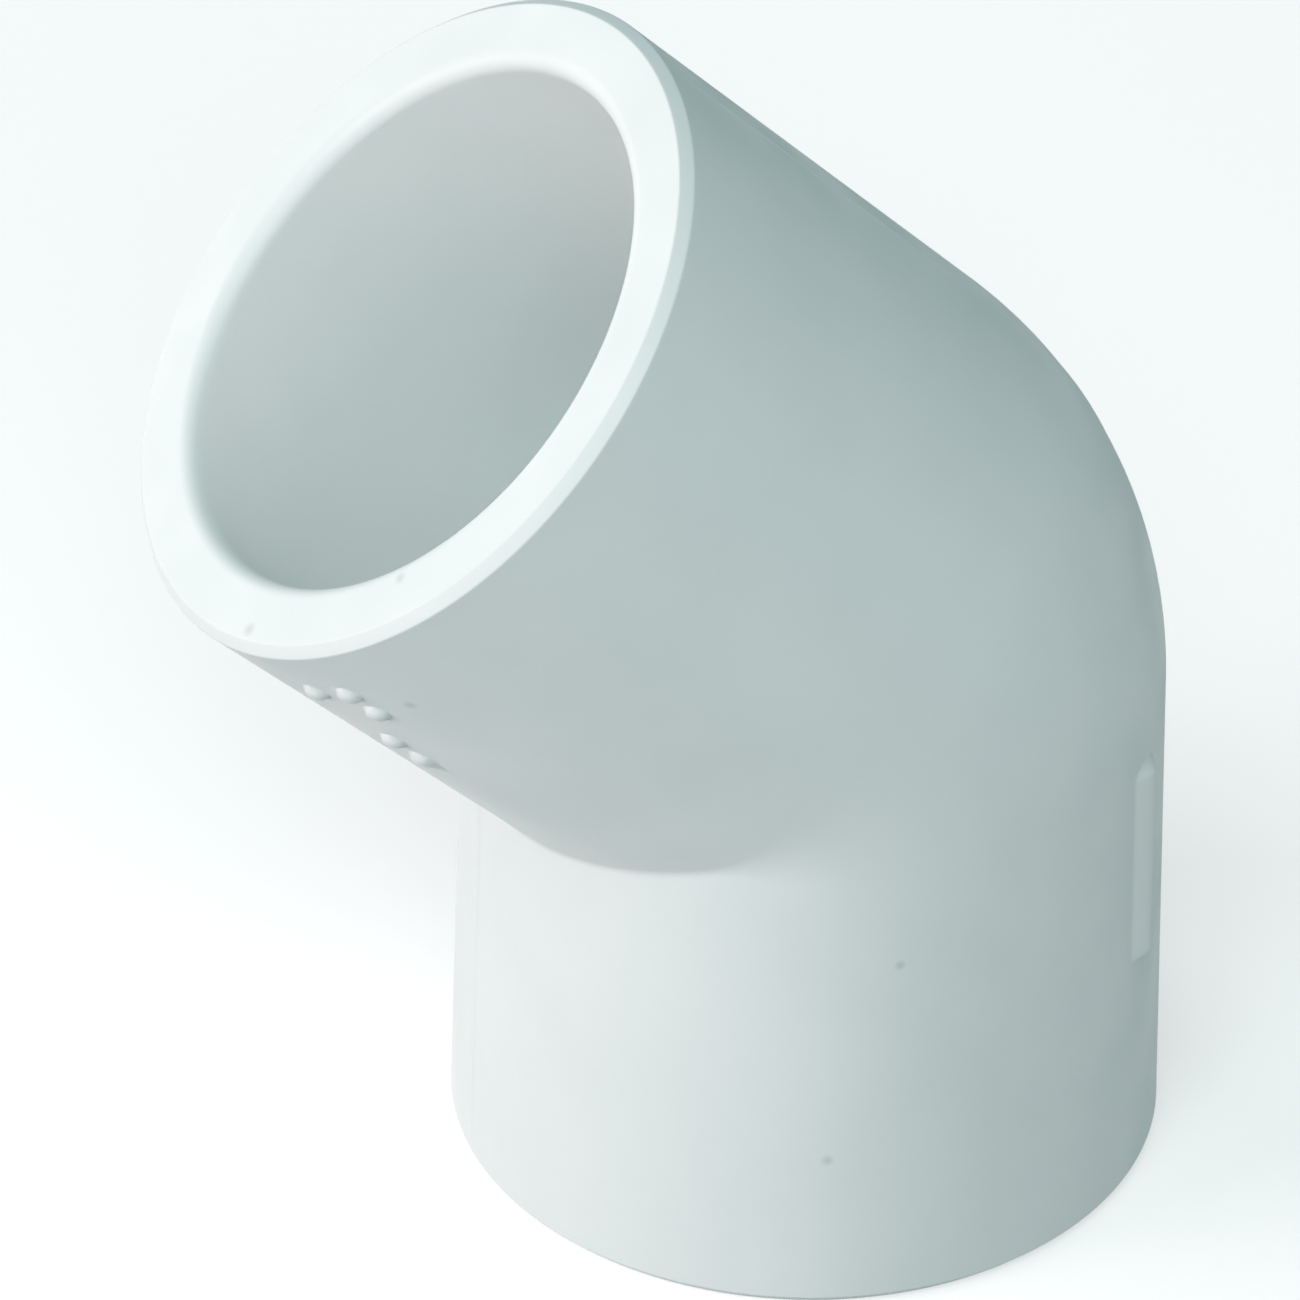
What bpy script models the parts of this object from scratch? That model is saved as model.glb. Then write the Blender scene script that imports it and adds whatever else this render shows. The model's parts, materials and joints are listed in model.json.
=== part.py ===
"""Half-inch PVC 45 degree socket elbow for rigid conduit, one injection moulding.

Two drafted sockets with stop rings are joined by a bend whose heel is swept and whose throat is a sharp
crease. Metres, +Z up. The lower socket stands on its rim at z = 0 and the upper socket leans towards -X.
The elbow is the same on both sides of its mitre plane, so one half is modelled and mirrored.
"""

from math import cos, pi, radians, sin, tan

import bmesh
import bpy
from mathutils import Matrix, Vector

MM = 0.001

# Driving dimensions
BEND_ANGLE = radians(45)
ARM = 23.25 * MM                # from the axes' intersection to each socket's face
OUTSIDE_RADIUS = 13.4 * MM      # at the bend
OUTSIDE_DRAFT = 0.0155          # radius gained per length towards the mouth
BEND_RADIUS = 8.25 * MM         # of the outside's centre line
RIM_CHAMFER = 0.4 * MM          # 45 degree bevel round each rim
MOUTH_RADIUS = 10.77 * MM       # socket entrance, for 21.3 mm conduit
STOP_RADIUS = 10.62 * MM        # socket bottom
SOCKET_DEPTH = 17.5 * MM
MOUTH_ROUNDING = 0.65 * MM      # leads the conduit in
PASSAGE_RADIUS = 7.9 * MM       # the conduit's own bore

# Raised marks: a low bar beside the lower socket's heel and two rows of pips by the upper socket's throat.
# Azimuths go round a socket from its throat side, and distances run along it from the axes' intersection.
BAR_AZIMUTH = radians(139)
BAR_START = 3.4 * MM
BAR_END = 13.3 * MM
BAR_RADIUS = 1.35 * MM          # of its rounded back, most of which is sunk in the wall
BAR_PROUD = 0.42 * MM
PIP_ROWS = (                    # each row's azimuth and its pips' distances
    (radians(31), (14.1 * MM, 15.7 * MM, 19.9 * MM)),
    (radians(38.5), (18.3 * MM, 19.85 * MM)),
)
PIP_RADIUS = 0.55 * MM
PIP_PROUD = 0.3 * MM

# Resolution
SIDES = 72
BEND_STEPS = 6                  # in half the bend
ROUNDING_STEPS = 4
MARK_SIDES = 16
MARK_RINGS = 9                  # odd, so that no ring lies on the middle and a bar stretches between two

HALF_BEND = BEND_ANGLE / 2
BEND_START = BEND_RADIUS * tan(HALF_BEND)   # below the axes' intersection, where the bend begins
RIM_RADIUS = OUTSIDE_RADIUS + OUTSIDE_DRAFT * (ARM - RIM_CHAMFER - BEND_START)


def outside_radius(distance):
    """Outside radius of a socket this far along its axis from the axes' intersection."""
    return OUTSIDE_RADIUS + OUTSIDE_DRAFT * max(distance - BEND_START, 0)


def socket_point(azimuth, radius, height):
    """Point of the lower socket: X towards the throat, Z up its axis, the axes' intersection at zero."""
    return Vector((radius * cos(azimuth), radius * sin(azimuth), height))


def bend_point(azimuth, turn):
    """Outside of the bend where its ring has turned this far from the end of the lower socket.

    Rings fold over each other beyond the bend's centre line, so there the socket runs on to the mitre.
    """
    reach = OUTSIDE_RADIUS * cos(azimuth)
    if reach < BEND_RADIUS:
        span = BEND_RADIUS - reach
        return Vector((BEND_RADIUS - span * cos(turn), OUTSIDE_RADIUS * sin(azimuth),
                       span * sin(turn) - BEND_START))
    slope = cos(azimuth) * tan(HALF_BEND)
    depth = slope * (OUTSIDE_RADIUS - OUTSIDE_DRAFT * BEND_START) / (1 - OUTSIDE_DRAFT * slope)
    return socket_point(azimuth, outside_radius(depth), -depth)


def passage_mitre_point(azimuth):
    """Where the lower straight hole through the bend meets the mitre plane."""
    return socket_point(azimuth, PASSAGE_RADIUS, -PASSAGE_RADIUS * cos(azimuth) * tan(HALF_BEND))


def half_rings():
    """Rings of the lower half, from the mitre outside, round the rim and up the bore to the mitre inside."""
    azimuths = [2 * pi * side / SIDES for side in range(SIDES)]
    rings = []
    for step in range(BEND_STEPS + 1):
        turn = HALF_BEND * (1 - step / BEND_STEPS)
        rings.append([bend_point(azimuth, turn) for azimuth in azimuths])
    profile = [(RIM_RADIUS, RIM_CHAMFER - ARM), (RIM_RADIUS - RIM_CHAMFER, -ARM)]
    for step in range(ROUNDING_STEPS + 1):
        angle = pi / 2 * step / ROUNDING_STEPS
        profile.append((MOUTH_RADIUS + MOUTH_ROUNDING * (1 - sin(angle)),
                        MOUTH_ROUNDING * (1 - cos(angle)) - ARM))
    profile.append((STOP_RADIUS, SOCKET_DEPTH - ARM))
    profile.append((PASSAGE_RADIUS, SOCKET_DEPTH - ARM))
    for radius, height in profile:
        rings.append([socket_point(azimuth, radius, height) for azimuth in azimuths])
    rings.append([passage_mitre_point(azimuth) for azimuth in azimuths])
    return rings


def mitre_mirror():
    """Reflection in the mitre plane, which swaps the lower half with the upper one."""
    normal = Vector((sin(HALF_BEND), 0, cos(HALF_BEND)))
    return Matrix.Scale(-1, 4, normal)


def elbow_mesh(name):
    """The closed moulding without its marks."""
    bm = bmesh.new()
    rings = [[bm.verts.new(point) for point in ring] for ring in half_rings()]
    for ring, following in zip(rings, rings[1:]):
        for side in range(SIDES):
            after = (side + 1) % SIDES
            bm.faces.new((ring[side], following[side], following[after], ring[after]))
    twin = bmesh.ops.duplicate(bm, geom=bm.verts[:] + bm.edges[:] + bm.faces[:])["geom"]
    twin_verts = [item for item in twin if isinstance(item, bmesh.types.BMVert)]
    twin_faces = [item for item in twin if isinstance(item, bmesh.types.BMFace)]
    bmesh.ops.transform(bm, matrix=mitre_mirror(), verts=twin_verts)
    bmesh.ops.reverse_faces(bm, faces=twin_faces)
    bmesh.ops.remove_doubles(bm, verts=bm.verts, dist=0.001 * MM)
    bmesh.ops.recalc_face_normals(bm, faces=bm.faces)
    mesh = bpy.data.meshes.new(name)
    bm.to_mesh(mesh)
    bm.free()
    return mesh


def add_mark(bm, azimuth, start, end, radius, proud, in_upper_socket):
    """A round-ended raised mark along a socket's outside, between two distances from the intersection."""
    mark = bmesh.ops.create_uvsphere(bm, u_segments=MARK_SIDES, v_segments=MARK_RINGS, radius=radius)
    stretch = max((end - start) / 2 - radius, 0)
    for vert in mark["verts"]:
        vert.co.z += stretch if vert.co.z > 0 else -stretch
    ends = []
    for distance in (start, end):
        ends.append(socket_point(azimuth, outside_radius(distance) + proud - radius, -distance))
    lie = (ends[0] - ends[1]).to_track_quat("Z", "Y").to_matrix().to_4x4()
    place = Matrix.Translation((ends[0] + ends[1]) / 2) @ lie
    if in_upper_socket:
        place = mitre_mirror() @ place
    bmesh.ops.transform(bm, matrix=place, verts=mark["verts"])


def marks_mesh(name):
    """All raised marks as separate closed bodies, each sunk into the wall."""
    bm = bmesh.new()
    add_mark(bm, BAR_AZIMUTH, BAR_START, BAR_END, BAR_RADIUS, BAR_PROUD, in_upper_socket=False)
    for azimuth, distances in PIP_ROWS:
        for middle in distances:
            add_mark(bm, azimuth, middle - PIP_RADIUS, middle + PIP_RADIUS, PIP_RADIUS, PIP_PROUD,
                     in_upper_socket=True)
    bmesh.ops.recalc_face_normals(bm, faces=bm.faces)
    mesh = bpy.data.meshes.new(name)
    bm.to_mesh(mesh)
    bm.free()
    return mesh


def pvc_material():
    """Rigid white PVC with the fine matte skin of a moulding."""
    material = bpy.data.materials.new("white_pvc")
    material.use_nodes = True
    shader = material.node_tree.nodes["Principled BSDF"]
    shader.inputs["Base Color"].default_value = (0.80, 0.85, 0.84, 1)
    shader.inputs["Roughness"].default_value = 0.5
    shader.inputs["Metallic"].default_value = 0
    return material


def placement():
    """Turns the throat to -X, stands the lower rim on z = 0 and centres the elbow's width on the origin."""
    upper_reach = ARM * sin(BEND_ANGLE) + (RIM_RADIUS - RIM_CHAMFER) * cos(BEND_ANGLE)
    middle = (upper_reach - RIM_RADIUS) / 2
    return Matrix.Translation((middle, 0, ARM)) @ Matrix.Rotation(pi, 4, "Z")


def build():
    for item in list(bpy.data.objects):
        bpy.data.objects.remove(item, do_unlink=True)
    place = placement()

    elbow = bpy.data.objects.new("elbow_body", elbow_mesh("elbow_body"))
    elbow.data.materials.append(pvc_material())
    elbow.data.transform(place)
    bpy.context.scene.collection.objects.link(elbow)

    marks = bpy.data.objects.new("raised_marks", marks_mesh("raised_marks"))
    marks.data.transform(place)
    marks.hide_render = True
    marks.display_type = "WIRE"
    bpy.context.scene.collection.objects.link(marks)

    join = elbow.modifiers.new("raised_marks", "BOOLEAN")
    join.operation = "UNION"
    join.solver = "EXACT"
    join.object = marks

    elbow.data.shade_smooth()
    elbow.data.set_sharp_from_angle(angle=radians(30))


build()
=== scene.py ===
"""The half-inch PVC 45 degree socket elbow on a nearly white floor, with the skin of the real moulding.

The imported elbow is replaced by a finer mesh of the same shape: soft-edged bevels and rounded mouths, a soft
root in the throat's crease, filleted stop rings, a faint parting line and raised marks that grow out of the
wall. Metres, +Z up. Azimuths on the elbow go round a socket's axis from its throat side, and distances run
along that axis from the point where the two axes meet.
"""

import json
from math import acos, cos, pi, radians, sin, tan

import bpy
import numpy as np
from mathutils import Matrix, Vector


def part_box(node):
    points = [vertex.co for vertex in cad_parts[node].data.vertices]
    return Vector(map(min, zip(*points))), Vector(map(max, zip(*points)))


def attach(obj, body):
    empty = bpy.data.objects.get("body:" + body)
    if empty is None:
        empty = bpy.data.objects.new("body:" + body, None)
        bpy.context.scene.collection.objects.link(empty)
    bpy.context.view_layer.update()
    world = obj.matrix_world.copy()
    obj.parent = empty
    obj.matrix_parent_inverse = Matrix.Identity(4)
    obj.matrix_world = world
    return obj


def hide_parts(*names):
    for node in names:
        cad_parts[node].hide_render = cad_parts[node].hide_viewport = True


MM = 0.001

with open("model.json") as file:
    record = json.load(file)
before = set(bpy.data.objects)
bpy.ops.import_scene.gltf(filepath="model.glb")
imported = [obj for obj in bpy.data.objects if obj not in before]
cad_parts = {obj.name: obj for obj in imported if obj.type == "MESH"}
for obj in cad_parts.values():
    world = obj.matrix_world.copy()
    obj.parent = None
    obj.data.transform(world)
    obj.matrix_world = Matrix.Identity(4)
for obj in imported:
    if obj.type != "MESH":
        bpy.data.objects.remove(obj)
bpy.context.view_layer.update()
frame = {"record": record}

# ---------------------------------------------------------------- the moulding's sizes
OUTSIDE_DRAFT = 0.0155          # radius gained per length towards a mouth
BEND_RADIUS = 8.25 * MM         # of the outside's centre line
CREASE_ROOT = 0.5 * MM          # radius in the bottom of the throat's crease
RIM_CHAMFER = 0.4 * MM
EDGE_SOFTNESS = 0.12 * MM       # rounding on the bevel's two edges
MOUTH_RADIUS = 10.77 * MM       # of the bore at its entrance
MOUTH_ROUNDING = 0.65 * MM
STOP_RADIUS = 10.62 * MM        # of the bore at its bottom
STOP_FILLET = 0.3 * MM
SOCKET_DEPTH = 17.5 * MM
PASSAGE_RADIUS = 7.9 * MM
PASSAGE_LIP = 0.15 * MM         # rounding on the stop ring's inner edge
SUPPORT = 0.05 * MM             # width of the narrow rows that keep a flat face flat beside a rounded edge

PARTING_HEIGHT = 0.03 * MM
PARTING_WIDTH = 0.16 * MM

BAR_AZIMUTH = radians(139)
BAR_SPAN = (3.8 * MM, 12.9 * MM)
BAR_HALF_WIDTH = 0.98 * MM
BAR_END_SLOPE = 0.343 * MM      # length of each end's slope
BAR_BACK = 0.25                 # rounding of the bar's back, as a share of its half width
BAR_PROUD = 0.42 * MM
PIP_ROWS = (                    # each row's azimuth and its pips' distances
    (radians(31), (14.1 * MM, 15.7 * MM, 19.9 * MM)),
    (radians(38.5), (18.3 * MM, 19.85 * MM)),
)
PIP_HALF_WIDTH = 0.49 * MM
PIP_PROUD = 0.3 * MM

# ---------------------------------------------------------------- the mesh's resolution
SIDES = 180
BAR_COLUMNS = 23
PIP_COLUMNS = 13
SEAM_COLUMNS = 5
MARK_MARGIN = 1.15              # how far a mark's close columns reach, in its half widths
COLUMN_GAP = 1.1                # how near its middle the even columns come, in that reach
BEND_ROWS = 16                  # in half the bend
ROUNDING_ROWS = 6
COARSE_ROW = 0.8 * MM
FINE_ROW = 0.14 * MM
PASSAGE_ROWS = (0.1, 0.4, 0.7, 0.95, 1)     # shares of the way from the stop's lip to the mitre
SHARP_ANGLE = radians(35)


def read_frame():
    """The elbow's layout in the frame: where its axes meet, its bend angle, its arm and its rim's radius."""
    mounts = {mount["name"]: mount for mount in frame["record"]["mounts"]}
    axis_x = mounts["lower_face"]["pos_m"][0]
    face = mounts["upper_face"]["pos_m"]
    along = mounts["upper_face"]["axis"]
    arm = (face[0] - axis_x) / along[0]
    low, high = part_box("elbow_body")
    return Vector((axis_x, 0, face[2] - arm * along[2])), acos(along[2]), arm, (high[1] - low[1]) / 2


MEETING, BEND_ANGLE, ARM, RIM_RADIUS = read_frame()
HALF_BEND = BEND_ANGLE / 2
BEND_START = BEND_RADIUS * tan(HALF_BEND)
RIM_START = ARM - RIM_CHAMFER - EDGE_SOFTNESS
OUTSIDE_RADIUS = RIM_RADIUS - OUTSIDE_DRAFT * (ARM - RIM_CHAMFER - BEND_START)


# ---------------------------------------------------------------- the fine mesh
def columns():
    """Azimuths of the mesh's columns, closer together on the marks and the parting lines."""
    angles = list(np.arange(SIDES) * 2 * pi / SIDES)
    crowded = [(BAR_AZIMUTH, BAR_HALF_WIDTH, BAR_COLUMNS)]
    crowded += [(azimuth, PARTING_WIDTH / 2, SEAM_COLUMNS) for azimuth in (0, pi)]
    crowded += [(azimuth, PIP_HALF_WIDTH, PIP_COLUMNS) for azimuth, _ in PIP_ROWS]
    for azimuth, half_width, count in crowded:
        reach = MARK_MARGIN * half_width / OUTSIDE_RADIUS
        angles = [a for a in angles if abs((a - azimuth + pi) % (2 * pi) - pi) > reach * COLUMN_GAP]
        angles += list((azimuth + np.linspace(-reach, reach, count)) % (2 * pi))
    return np.array(sorted(angles))


def spaced(start, end, fine_spans):
    """Distances from start to end, close together inside the fine spans."""
    places = [start]
    while places[-1] < end:
        here = places[-1]
        fine = any(low - FINE_ROW <= here <= high for low, high in fine_spans)
        step = FINE_ROW if fine else COARSE_ROW
        ahead = [low - FINE_ROW / 2 for low, _ in fine_spans if here < low - FINE_ROW < here + step]
        places.append(min([here + step, end] + ahead))
    return np.array(places)


def dome(distance, half_width, proud):
    """Height of a round-backed mark at this distance from its middle line."""
    inside = np.clip(1 - (distance / half_width) ** 2, 0, 1)
    return proud * np.sqrt(inside)


def ridge(distance, half_width, proud, back):
    """Height of a mark with straight flanks and a back that is rounded over this share of its half width."""
    share = (np.hypot(distance / half_width, back) - back) / (np.hypot(1, back) - back)
    return proud * np.clip(1 - share, 0, 1)


def bar_height(azimuth, along):
    """Height of the raised bar on the lower socket."""
    across = (azimuth - BAR_AZIMUTH) * OUTSIDE_RADIUS
    start, end = BAR_SPAN
    past = np.maximum(np.maximum(start + BAR_END_SLOPE - along, along - end + BAR_END_SLOPE), 0)
    off = np.hypot(across, past * BAR_HALF_WIDTH / BAR_END_SLOPE)
    return ridge(off, BAR_HALF_WIDTH, BAR_PROUD, BAR_BACK)


def pips_height(azimuth, along):
    """Height of the rows of pips on the upper socket."""
    height = 0
    for row_azimuth, places in PIP_ROWS:
        across = (azimuth - row_azimuth) * OUTSIDE_RADIUS
        for place in places:
            height = height + dome(np.hypot(across, along - place), PIP_HALF_WIDTH, PIP_PROUD)
    return height


def parting_height(azimuth):
    """Height of the faint line that the mould's halves leave along the heel and the throat."""
    off = np.abs(np.sin(azimuth)) * OUTSIDE_RADIUS
    return PARTING_HEIGHT * np.clip(1 - (off / (PARTING_WIDTH / 2)) ** 2, 0, 1)


def ring(azimuths, radius, height):
    """Points round a socket's axis. The throat side is +X and the axes' intersection is at zero."""
    radius = np.broadcast_to(radius, azimuths.shape)
    height = np.broadcast_to(height, azimuths.shape)
    return np.stack([radius * np.cos(azimuths), radius * np.sin(azimuths), height], axis=1)


def outside_rings(azimuths, mark_height, fine_spans):
    """The outside of half the elbow, from the mitre plane to where the rim's rounding starts."""
    reach = OUTSIDE_RADIUS * np.cos(azimuths)
    for _ in range(3):      # the draft widens the socket where the crease lies lower: settled in turns
        centre = np.maximum(BEND_RADIUS, reach + CREASE_ROOT)
        start = centre * tan(HALF_BEND)
        radius = OUTSIDE_RADIUS + OUTSIDE_DRAFT * (start - BEND_START)
        reach = radius * np.cos(azimuths)
    swing = centre - reach
    seam = parting_height(azimuths)
    rings = []
    for turn in np.linspace(HALF_BEND, 0, BEND_ROWS + 1):
        bent = np.stack([centre - swing * cos(turn), radius * np.sin(azimuths),
                         swing * sin(turn) - start], axis=1)
        outward = np.stack([np.cos(azimuths) * cos(turn), np.sin(azimuths),
                            -np.cos(azimuths) * sin(turn)], axis=1)
        rings.append(bent + outward * seam[:, None])
    for place in spaced(BEND_START, RIM_START, fine_spans)[1:]:
        share = (place - BEND_START) / (RIM_START - BEND_START)
        along = start + share * (RIM_START - start)
        wall = OUTSIDE_RADIUS + OUTSIDE_DRAFT * (along - BEND_START)
        lifted = np.minimum(wall + seam, np.maximum(wall, RIM_RADIUS)) + mark_height(azimuths, along)
        rings.append(ring(azimuths, lifted, -along))
    return rings


def filleted(corners):
    """Profile points through corners (radius, height, rounding), with an arc at each corner but the ends."""
    points = [Vector(corners[0][:2])]
    for before, here, after in zip(corners, corners[1:], corners[2:]):
        corner, rounding = Vector(here[:2]), here[2]
        back = (Vector(before[:2]) - corner).normalized()
        ahead = (Vector(after[:2]) - corner).normalized()
        half = back.angle(ahead) / 2
        reach = rounding / tan(half)
        centre = corner + (back + ahead).normalized() * rounding / sin(half)
        points.append(corner + back * (reach + SUPPORT))
        first, last = corner + back * reach, corner + ahead * reach
        for share in np.linspace(0, 1, ROUNDING_ROWS + 1):
            points.append(centre + (first.lerp(last, share) - centre).normalized() * rounding)
        points.append(corner + ahead * (reach + SUPPORT))
    points.append(Vector(corners[-1][:2]))
    return points


def rim_and_bore_profile():
    """Profile (radius, height) over the bevel and the rim, up the bore, over the stop, into the passage."""
    stop = SOCKET_DEPTH - ARM
    return filleted((
        (RIM_RADIUS, -RIM_START),
        (RIM_RADIUS, RIM_CHAMFER - ARM, EDGE_SOFTNESS),
        (RIM_RADIUS - RIM_CHAMFER, -ARM, EDGE_SOFTNESS),
        (MOUTH_RADIUS, -ARM, MOUTH_ROUNDING),
        (STOP_RADIUS, stop, STOP_FILLET),
        (PASSAGE_RADIUS, stop, PASSAGE_LIP),
        (PASSAGE_RADIUS, stop + 4 * PASSAGE_LIP),
    ))[1:]


def half_rings(azimuths, mark_height, fine_spans):
    """All rings of half the elbow, from the mitre plane outside round to the mitre plane inside."""
    rings = outside_rings(azimuths, mark_height, fine_spans)
    for radius, height in rim_and_bore_profile():
        rings.append(ring(azimuths, radius, height))
    deep = rings[-1][:, 2]
    mitre = -PASSAGE_RADIUS * np.cos(azimuths) * tan(HALF_BEND)
    for share in PASSAGE_ROWS:
        rings.append(ring(azimuths, PASSAGE_RADIUS, deep + share * (mitre - deep)))
    return rings


def elbow_mesh():
    """The whole moulding as one closed mesh, in the frame's place."""
    azimuths = columns()
    bar_span = (BAR_SPAN[0] - FINE_ROW, BAR_SPAN[1] + FINE_ROW)
    lower = half_rings(azimuths, bar_height, [bar_span])
    pips = [place for _, places in PIP_ROWS for place in places]
    pips_span = (min(pips) - PIP_HALF_WIDTH - FINE_ROW, max(pips) + PIP_HALF_WIDTH + FINE_ROW)
    upper = half_rings(azimuths, pips_height, [pips_span])
    normal = np.array([sin(HALF_BEND), 0, cos(HALF_BEND)])
    upper = [points - 2 * np.outer(points @ normal, normal) for points in upper]
    rings = lower + upper[-2:0:-1]      # up the lower half outside and in, and back along the upper half
    points = np.concatenate(rings) * [-1, -1, 1] + list(MEETING)
    count = len(azimuths)
    faces = []
    for row in range(len(rings)):
        here, there = row * count, (row + 1) % len(rings) * count
        for side in range(count):
            after = (side + 1) % count
            faces.append((here + side, there + side, there + after, here + after))
    mesh = bpy.data.meshes.new("elbow_moulding")
    mesh.from_pydata(points.tolist(), [], faces)
    mesh.validate()
    mesh.shade_smooth()
    mesh.set_sharp_from_angle(angle=SHARP_ANGLE)
    return mesh


# ---------------------------------------------------------------- white PVC
PVC_TINTS = ((0.82, 0.85, 0.845, 1), (0.845, 0.872, 0.867, 1))
PVC_ROUGHNESS = (0.44, 0.56)
MOTTLE_SCALE = 140              # noise scales, in cycles per metre
GLOSS_SCALE = 320
SKIN_SCALE = 5200
WAVES_SCALE = 260
SKIN_DEPTH = 0.02 * MM
WAVES_DEPTH = 0.03 * MM
DIRT_COLOUR = (0.42, 0.45, 0.46, 1)
DIRT_COVER = 0.4                # how much of the white a speck's middle hides
SPECKS = (      # dirt in the skin: socket, azimuth, distance along it, radius from its axis, size
    ("upper", radians(47), 18.6 * MM, 13.6 * MM, 0.4 * MM),
    ("upper", radians(62.5), 23.2 * MM, 11.6 * MM, 0.34 * MM),
    ("upper", radians(27), 23.25 * MM, 12.9 * MM, 0.4 * MM),
    ("lower", radians(73), 16.3 * MM, 13.6 * MM, 0.34 * MM),
    ("lower", radians(84), 7.4 * MM, 13.46 * MM, 0.3 * MM),
)


def on_socket(socket, azimuth, along, radius):
    """A point in the frame at this radius from a socket's axis."""
    point = Vector((radius * cos(azimuth), radius * sin(azimuth), -along))
    if socket == "upper":
        point = Matrix.Scale(-1, 4, Vector((sin(HALF_BEND), 0, cos(HALF_BEND)))) @ point
    return Vector((-point.x, -point.y, point.z)) + MEETING


def noise(nodes, links, place, scale, detail):
    """Noise in the object's own space."""
    node = nodes.new("ShaderNodeTexNoise")
    node.inputs["Scale"].default_value = scale
    node.inputs["Detail"].default_value = detail
    links.new(place, node.inputs["Vector"])
    return node.outputs["Fac"]


def ramp(nodes, links, value, low, high, first, last):
    """Maps a value from low..high to first..last along a smooth step."""
    node = nodes.new("ShaderNodeMapRange")
    node.interpolation_type = "SMOOTHSTEP"
    links.new(value, node.inputs["Value"])
    for name, number in (("From Min", low), ("From Max", high), ("To Min", first), ("To Max", last)):
        node.inputs[name].default_value = number
    return node.outputs["Result"]


def mixed(nodes, links, factor, first, last):
    """A colour between two colours. The first may be another node's colour."""
    node = nodes.new("ShaderNodeMix")
    node.data_type = "RGBA"
    if isinstance(first, tuple):
        node.inputs["A"].default_value = first
    else:
        links.new(first, node.inputs["A"])
    node.inputs["B"].default_value = last
    links.new(factor, node.inputs["Factor"])
    return node.outputs["Result"]


def bumped(nodes, links, height, strength, depth):
    """A bump node of this depth, for a height from 0 to 1."""
    node = nodes.new("ShaderNodeBump")
    node.inputs["Strength"].default_value = strength
    node.inputs["Distance"].default_value = depth
    links.new(height, node.inputs["Height"])
    return node


def pvc_material():
    """Rigid white PVC: a faint milky mottle, fine matte skin, slow waviness and a few dirt specks."""
    material = bpy.data.materials.new("white_pvc")
    material.use_nodes = True
    nodes, links = material.node_tree.nodes, material.node_tree.links
    shader = nodes["Principled BSDF"]
    place = nodes.new("ShaderNodeTexCoord").outputs["Object"]

    mottle = ramp(nodes, links, noise(nodes, links, place, MOTTLE_SCALE, 3), 0.3, 0.7, 0, 1)
    colour = mixed(nodes, links, mottle, *PVC_TINTS)
    for socket, azimuth, along, radius, size in SPECKS:
        away = nodes.new("ShaderNodeVectorMath")
        away.operation = "DISTANCE"
        links.new(place, away.inputs[0])
        away.inputs[1].default_value = on_socket(socket, azimuth, along, radius)
        cover = ramp(nodes, links, away.outputs["Value"], 0, size, DIRT_COVER, 0)
        colour = mixed(nodes, links, cover, colour, DIRT_COLOUR)
    links.new(colour, shader.inputs["Base Color"])

    patch = noise(nodes, links, place, GLOSS_SCALE, 2)
    links.new(ramp(nodes, links, patch, 0.3, 0.7, *PVC_ROUGHNESS), shader.inputs["Roughness"])

    skin = bumped(nodes, links, noise(nodes, links, place, SKIN_SCALE, 2), 0.25, SKIN_DEPTH)
    waves = bumped(nodes, links, noise(nodes, links, place, WAVES_SCALE, 1), 0.3, WAVES_DEPTH)
    links.new(skin.outputs["Normal"], waves.inputs["Normal"])
    links.new(waves.outputs["Normal"], shader.inputs["Normal"])

    shader.inputs["IOR"].default_value = 1.53
    shader.inputs["Subsurface Weight"].default_value = 0.15
    shader.inputs["Subsurface Radius"].default_value = (1, 1, 1)
    shader.inputs["Subsurface Scale"].default_value = 0.6 * MM
    return material


# ---------------------------------------------------------------- floor, lights and camera
FLOOR_HALF = 1.5
FLOOR_COLOUR = (0.9, 0.9, 0.9, 1)
FLOOR_GLOW = (1, 0.92, 0.92, 1)         # evens out the floor's tone and takes the world's green out of it
FLOOR_GLOW_STRENGTH = 0.42
SOFTBOX_SIZE = 0.35
SOFTBOX_DISTANCE = 0.6
SOFTBOXES = (       # name, azimuth seen from above (from +X towards +Y), elevation, watts, colour
    ("key", 180, 8, 2.75, (1, 0.86, 0.87)),
    ("rear", 120, 8, 1.15, (1, 0.94, 0.93)),
    ("top", 240, 50, 1.15, (0.83, 1, 0.99)),
    ("front", 270, 20, 0.78, (1, 0.8, 0.81)),
)
WORLD_COLOUR = (0.64, 1, 1, 1)
WORLD_STRENGTH = 0.26


def floor():
    """A plain, nearly white floor under the lower rim."""
    half = FLOOR_HALF
    corners = [(-half, -half, 0), (half, -half, 0), (half, half, 0), (-half, half, 0)]
    mesh = bpy.data.meshes.new("floor")
    mesh.from_pydata(corners, [], [(0, 1, 2, 3)])
    ground = bpy.data.objects.new("floor", mesh)
    bpy.context.scene.collection.objects.link(ground)
    paint = bpy.data.materials.new("pale_floor")
    paint.use_nodes = True
    shader = paint.node_tree.nodes["Principled BSDF"]
    shader.inputs["Base Color"].default_value = FLOOR_COLOUR
    shader.inputs["Roughness"].default_value = 0.9
    shader.inputs["Emission Color"].default_value = FLOOR_GLOW
    shader.inputs["Emission Strength"].default_value = FLOOR_GLOW_STRENGTH
    mesh.materials.append(paint)
    # The floor's light would wash out the shade under the leaning socket.
    ground.visible_diffuse = False


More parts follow.
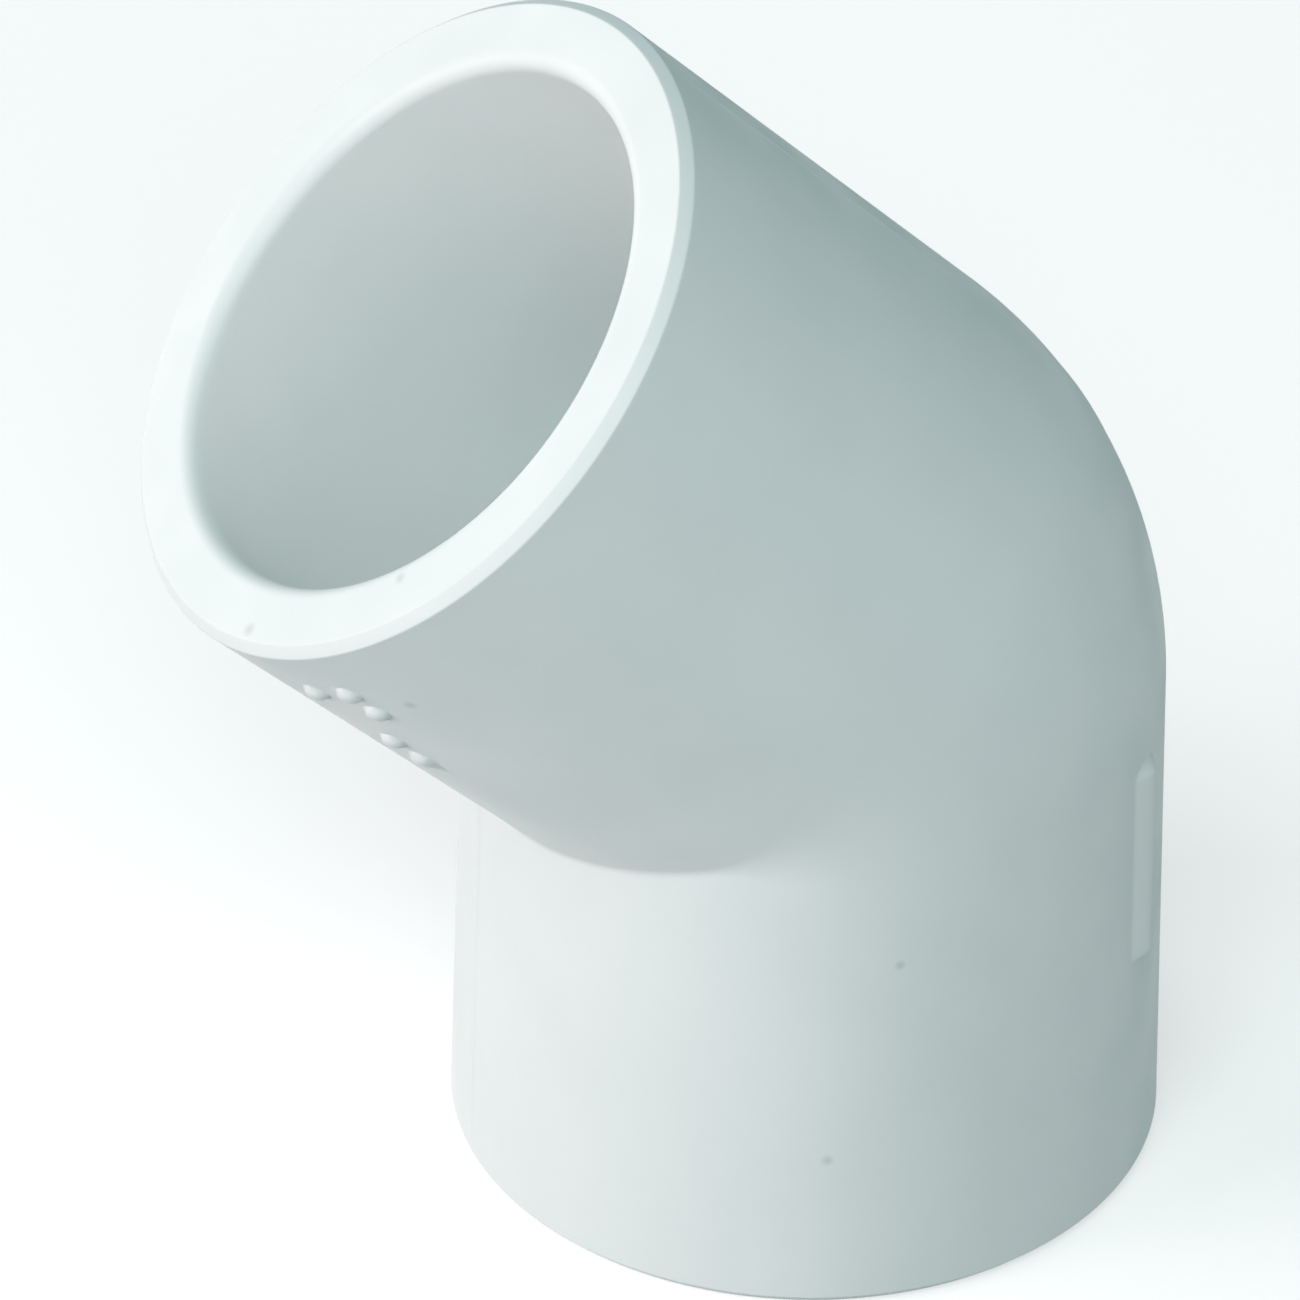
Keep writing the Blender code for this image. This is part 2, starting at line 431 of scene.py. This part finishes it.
def softbox(name, azimuth, elevation, power, colour):
    """A square area light that faces the elbow."""
    data = bpy.data.lights.new(name, "AREA")
    data.energy = power
    data.color = colour
    data.size = SOFTBOX_SIZE
    lamp = bpy.data.objects.new(name, data)
    bpy.context.scene.collection.objects.link(lamp)
    a, e = radians(azimuth), radians(elevation)
    away = Vector((cos(a) * cos(e), sin(a) * cos(e), sin(e)))
    lamp.location = MEETING + SOFTBOX_DISTANCE * away
    lamp.rotation_euler = away.to_track_quat("Z", "Y").to_euler()


def lights():
    """Low soft boxes on the leaning side, weaker ones above and in front, and a dim greenish world."""
    for box in SOFTBOXES:
        softbox(*box)
    world = bpy.data.worlds.new("studio")
    world.use_nodes = True
    background = world.node_tree.nodes["Background"]
    background.inputs["Color"].default_value = WORLD_COLOUR
    background.inputs["Strength"].default_value = WORLD_STRENGTH
    bpy.context.scene.world = world


CAMERA_AZIMUTH = radians(-20.3)
CAMERA_ELEVATION = radians(35.8)
CAMERA_ROLL = radians(-0.95)
CAMERA_DISTANCE = 40.8 * OUTSIDE_RADIUS
CAMERA_LENS = 399.2
AIM_LEFT = 0.4686 * OUTSIDE_RADIUS      # from the point where the axes meet to the view's middle
AIM_DOWN = 0.1387 * OUTSIDE_RADIUS


def camera():
    """Looks down at the elbow from its front left, so that the leaning mouth shows."""
    back = Vector((sin(CAMERA_AZIMUTH) * cos(CAMERA_ELEVATION),
                   -cos(CAMERA_AZIMUTH) * cos(CAMERA_ELEVATION),
                   sin(CAMERA_ELEVATION)))
    level = Vector((cos(CAMERA_AZIMUTH), sin(CAMERA_AZIMUTH), 0))
    upright = back.cross(level)
    right = level * cos(CAMERA_ROLL) - upright * sin(CAMERA_ROLL)
    up = level * sin(CAMERA_ROLL) + upright * cos(CAMERA_ROLL)
    place = MEETING + back * CAMERA_DISTANCE - right * AIM_LEFT - up * AIM_DOWN
    data = bpy.data.cameras.new("camera")
    data.lens = CAMERA_LENS
    data.clip_start = 0.01
    eye = bpy.data.objects.new("camera", data)
    eye.matrix_world = Matrix.Translation(place) @ Matrix((right, up, back)).transposed().to_4x4()
    bpy.context.scene.collection.objects.link(eye)
    bpy.context.scene.camera = eye


def build():
    """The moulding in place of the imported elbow, and what stands round it."""
    elbow = bpy.data.objects.new("elbow_moulding", elbow_mesh())
    bpy.context.scene.collection.objects.link(elbow)
    elbow.data.materials.append(pvc_material())
    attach(elbow, "root")
    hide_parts("elbow_body")
    floor()
    lights()
    camera()
    bpy.context.scene.view_settings.view_transform = "Standard"


build()
